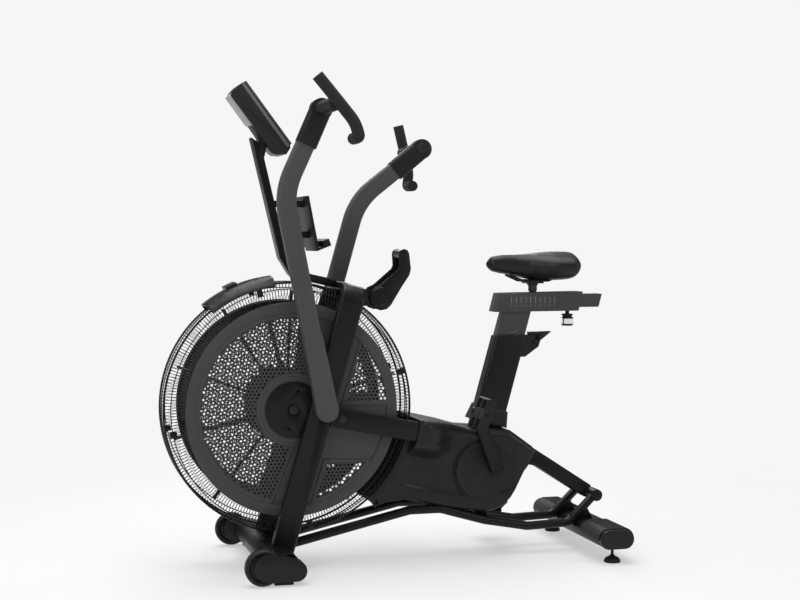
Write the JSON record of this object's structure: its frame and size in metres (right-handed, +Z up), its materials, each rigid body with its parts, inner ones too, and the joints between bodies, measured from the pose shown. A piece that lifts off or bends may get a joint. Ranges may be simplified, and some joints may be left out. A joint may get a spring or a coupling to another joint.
{
  "type": "air bike",
  "caption": "Fan-braked exercise bike with a caged fan wheel, swinging handlebar arms, belt drive, adjustable saddle and a tilting console.",
  "frame": {"origin": "on the floor, under the middle of the bike's bounding box", "axes": "+X from the fan to the rear, +Y to the rider's right, +Z up"},
  "size_m": [1.2834, 0.752, 1.3279],
  "materials": {
    "frame_black": "satin black powder coat",
    "inner_steel": "turned steel, lightly oiled",
    "moulded_black": "fine moulded grain, black",
    "pad_rubber": "ribbed black rubber",
    "wheel_plastic": "hard grey-black wheel",
    "guard_black": "satin black powder coat",
    "shield_grey": "satin charcoal moulding",
    "fairing_grey": "semi-gloss black moulding",
    "belt_rubber": "ribbed belt",
    "zinc_steel": "zinc-plated steel",
    "crank_black": "black powder coat",
    "pedal_black": "moulded black",
    "arm_black": "satin black powder coat",
    "handle_black": "black powder coat",
    "grip_foam": "closed-cell foam, black",
    "saddle_cover": "padded synthetic cover, black",
    "console_grey": "moulded housing",
    "button_grey": "moulded buttons"
  },
  "bodies": {
    "frame": {"fork_frame": "frame_black", "side_beams": "frame_black", "bearing_frame": "inner_steel", "seat_tube": "frame_black", "base_rails": "frame_black", "rear_beam": "frame_black", "front_stabilizer": "frame_black", "rear_stabilizer": "frame_black", "front_stabilizer_covers": "moulded_black", "rear_stabilizer_caps": "moulded_black", "step_pads": "pad_rubber", "guard_plate_left": "guard_black", "guard_plate_right": "guard_black", "wire_guard_left": "guard_black", "wire_guard_right": "guard_black", "rim_shield": "shield_grey", "fairing_left": "fairing_grey", "fairing_right": "fairing_grey", "crank_covers": "fairing_grey", "seat_boot": "moulded_black", "hub_brackets": "guard_black", "fan_axle": "inner_steel", "mast": "frame_black", "device_tray": "shield_grey", "frame_bolts": "zinc_steel", "drive_belts": "belt_rubber"},
    "crank": {"crank_axle": "inner_steel", "crank_pulley": "moulded_black", "crank_arm_left": "crank_black", "crank_arm_right": "crank_black"},
    "jackshaft": {"jackshaft": "inner_steel"},
    "fan": {"fan_wheel": "moulded_black", "fan_pulley": "moulded_black", "fan_bearings": "zinc_steel"},
    "pedal_left": {"pedal_left": "pedal_black"},
    "pedal_right": {"pedal_right": "pedal_black"},
    "arm_left": {"arm_left": "arm_black", "handle_left": "handle_black", "grip_left": "grip_foam", "arm_axle_left": "inner_steel"},
    "arm_right": {"arm_right": "arm_black", "handle_right": "handle_black", "grip_right": "grip_foam", "arm_axle_right": "inner_steel"},
    "push_rod_left": {"push_rod_left": "inner_steel"},
    "push_rod_right": {"push_rod_right": "inner_steel"},
    "seat_post": {"seat_post": "crank_black"},
    "seat": {"seat_slider": "crank_black", "saddle_clamp": "crank_black", "saddle": "saddle_cover"},
    "slider_knob": {"slider_knob": "moulded_black"},
    "height_lever": {"height_lever": "moulded_black"},
    "console": {"console_body": "console_grey"},
    "button_start": {"console_button_start": "button_grey"},
    "button_stop": {"console_button_stop": "button_grey"},
    "top_handle": {"top_handle": "crank_black"},
    "wheel_left": {"transport_wheel_left": "wheel_plastic"},
    "wheel_right": {"transport_wheel_right": "wheel_plastic"},
    "foot_left": {"levelling_foot_left": "moulded_black"},
    "foot_right": {"levelling_foot_right": "moulded_black"}
  },
  "joints": [
    {"name": "crank_spin", "type": "hinge", "parent": "frame", "child": "crank", "pos_m": [0.29625, 0, 0.258], "axis": [0, -1, 0], "continuous": true},
    {"name": "jackshaft_spin", "type": "hinge", "parent": "frame", "child": "jackshaft", "pos_m": [0.10825, 0, 0.3], "axis": [0, -1, 0], "continuous": true},
    {"name": "fan_spin", "type": "hinge", "parent": "frame", "child": "fan", "pos_m": [-0.29175, 0, 0.44], "axis": [0, -1, 0], "continuous": true},
    {"name": "left_pedal_spin", "type": "hinge", "parent": "crank", "child": "pedal_left", "pos_m": [0.23126, -0.16, 0.41725], "axis": [0, 1, 0], "continuous": true},
    {"name": "right_pedal_spin", "type": "hinge", "parent": "crank", "child": "pedal_right", "pos_m": [0.36124, 0.16, 0.09875], "axis": [0, 1, 0], "continuous": true},
    {"name": "left_arm_swing", "type": "hinge", "parent": "frame", "child": "arm_left", "pos_m": [-0.20975, -0.16, 0.441], "axis": [0, 1, 0], "range_deg": [0, 27]},
    {"name": "right_arm_swing", "type": "hinge", "parent": "frame", "child": "arm_right", "pos_m": [-0.20975, 0.16, 0.441], "axis": [0, 1, 0], "range_deg": [-27, 0]},
    {"name": "left_rod_slide", "type": "slide", "parent": "frame", "child": "push_rod_left", "axis": [0.9806, 0, -0.1959], "range_m": [-0.0145, 0]},
    {"name": "right_rod_slide", "type": "slide", "parent": "frame", "child": "push_rod_right", "axis": [0.9806, 0, -0.1959], "range_m": [0, 0.0145]},
    {"name": "seat_height", "type": "slide", "parent": "frame", "child": "seat_post", "axis": [0.2672, 0, 0.9636], "range_m": [-0.05, 0.1]},
    {"name": "seat_fore_aft", "type": "slide", "parent": "seat_post", "child": "seat", "axis": [1, 0, 0], "range_m": [-0.025, 0.05]},
    {"name": "slider_knob_turn", "type": "hinge", "parent": "seat_post", "child": "slider_knob", "pos_m": [0.54425, 0, 0.664], "axis": [0, 0, 1], "continuous": true},
    {"name": "height_lever_turn", "type": "hinge", "parent": "frame", "child": "height_lever", "pos_m": [0.44025, 0, 0.606], "axis": [0, 1, 0], "range_deg": [0, 60]},
    {"name": "console_tilt", "type": "hinge", "parent": "frame", "child": "console", "pos_m": [-0.35375, 0, 1.176], "axis": [0, 1, 0], "range_deg": [-12, 15]},
    {"name": "start_button_press", "type": "slide", "parent": "console", "child": "button_start", "axis": [-0.809, 0, -0.5878], "range_m": [0, 0.002], "stiffness_N_per_m": 300},
    {"name": "stop_button_press", "type": "slide", "parent": "console", "child": "button_stop", "axis": [-0.809, 0, -0.5878], "range_m": [0, 0.002], "stiffness_N_per_m": 300},
    {"name": "top_handle_tilt", "type": "hinge", "parent": "frame", "child": "top_handle", "pos_m": [-0.02975, 0, 0.738], "axis": [0, 1, 0], "range_deg": [0, 60]},
    {"name": "left_wheel_spin", "type": "hinge", "parent": "frame", "child": "wheel_left", "pos_m": [-0.40475, -0.274, 0.05], "axis": [0, 1, 0], "continuous": true},
    {"name": "right_wheel_spin", "type": "hinge", "parent": "frame", "child": "wheel_right", "pos_m": [-0.40475, 0.274, 0.05], "axis": [0, 1, 0], "continuous": true},
    {"name": "left_foot_turn", "type": "hinge", "parent": "frame", "child": "foot_left", "pos_m": [0.59025, -0.232, 0], "axis": [0, 0, 1], "continuous": true},
    {"name": "right_foot_turn", "type": "hinge", "parent": "frame", "child": "foot_right", "pos_m": [0.59025, 0.232, 0], "axis": [0, 0, 1], "continuous": true}
  ],
  "couplings": [
    {"joint": "jackshaft_spin", "follows": "crank_spin", "ratio": 3.2},
    {"joint": "fan_spin", "follows": "crank_spin", "ratio": 7.68},
    {"joint": "right_arm_swing", "follows": "left_arm_swing", "ratio": -1},
    {"joint": "left_rod_slide", "follows": "left_arm_swing", "m_per_rad": -0.029723},
    {"joint": "right_rod_slide", "follows": "left_arm_swing", "m_per_rad": 0.029723}
  ]
}
